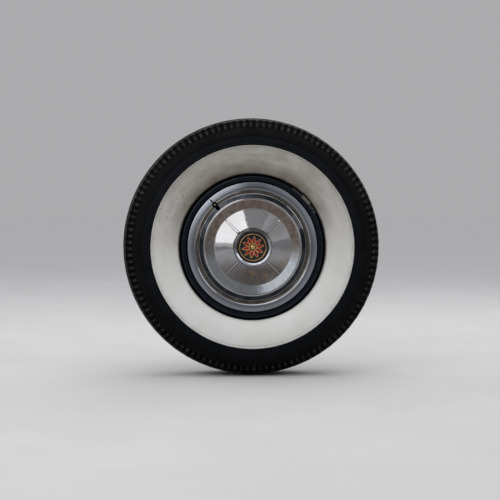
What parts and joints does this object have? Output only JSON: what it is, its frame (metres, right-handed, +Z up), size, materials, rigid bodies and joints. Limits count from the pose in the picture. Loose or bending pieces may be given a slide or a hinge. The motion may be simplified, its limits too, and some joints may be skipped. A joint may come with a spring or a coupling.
{
  "type": "front wheel with steering knuckle",
  "caption": "Whitewall cross-ply front wheel with polished cover, on its hub, brake drum, steering knuckle and kingpin support",
  "frame": {"origin": "centre of the lower pivot bore in the knuckle support", "axes": "+X towards the rear of the car, -Y outboard, +Z up; the axle runs along Y"},
  "size_m": [0.766, 0.2792, 0.7658],
  "materials": {
    "tyre": "black tyre rubber",
    "white_rubber": "white rubber, weathered",
    "black_paint": "gloss black",
    "chassis_paint": "satin black chassis paint",
    "polished_cover": "polished stainless with a satin outer band",
    "bezel_chrome": "chrome plate",
    "medallion_enamel": "black enamel with gilt and red ornament",
    "valve_rubber": "black rubber",
    "brass": "dull brass",
    "lead": "dark coated lead",
    "spring_steel": "blued spring steel",
    "drum_iron": "cast iron with light surface rust",
    "forged_steel": "oiled forged steel",
    "bolt_steel": "zinc plated, dulled",
    "ground_steel": "ground steel",
    "bronze": "sintered bronze"
  },
  "bodies": {
    "support": {"knuckle_support": "forged_steel", "kingpin": "ground_steel", "lock_pin": "bolt_steel", "lower_bushing": "ground_steel", "upper_bushing": "ground_steel"},
    "knuckle": {"steering_knuckle": "forged_steel", "kingpin_bushings": "bronze", "kingpin_plugs": "bolt_steel", "thrust_bearing": "ground_steel", "backing_plate": "chassis_paint", "steering_arm": "forged_steel", "plate_bolts": "bolt_steel", "anchor_pin": "bolt_steel", "bleed_screw": "brass", "hose_inlet": "brass", "inner_bearing": "ground_steel", "outer_bearing": "ground_steel", "spindle_nut": "bolt_steel"},
    "wheel": {"hub": "forged_steel", "grease_seal": "valve_rubber", "grease_cap": "bolt_steel", "brake_drum": "drum_iron", "rim": "black_paint", "wheel_disc": "black_paint", "wheel_studs": "bolt_steel", "wheel_nuts": "bolt_steel", "tyre": "tyre", "whitewall": "white_rubber", "wheel_cover": "polished_cover", "cover_ring": "spring_steel", "medallion_bezel": "bezel_chrome", "medallion": "medallion_enamel", "valve_stem": "valve_rubber", "valve_tip": "brass", "balance_weight": "lead", "weight_clip": "spring_steel"}
  },
  "joints": [
    {"name": "steering", "type": "hinge", "parent": "support", "child": "knuckle", "pos_m": [0, -0.02012, 0.11419], "axis": [0, 0.0872, 0.9962], "range_deg": [-30, 35]},
    {"name": "wheel_spin", "type": "hinge", "parent": "knuckle", "child": "wheel", "pos_m": [0, -0.12012, 0.11419], "axis": [0, -1, 0], "continuous": true}
  ]
}
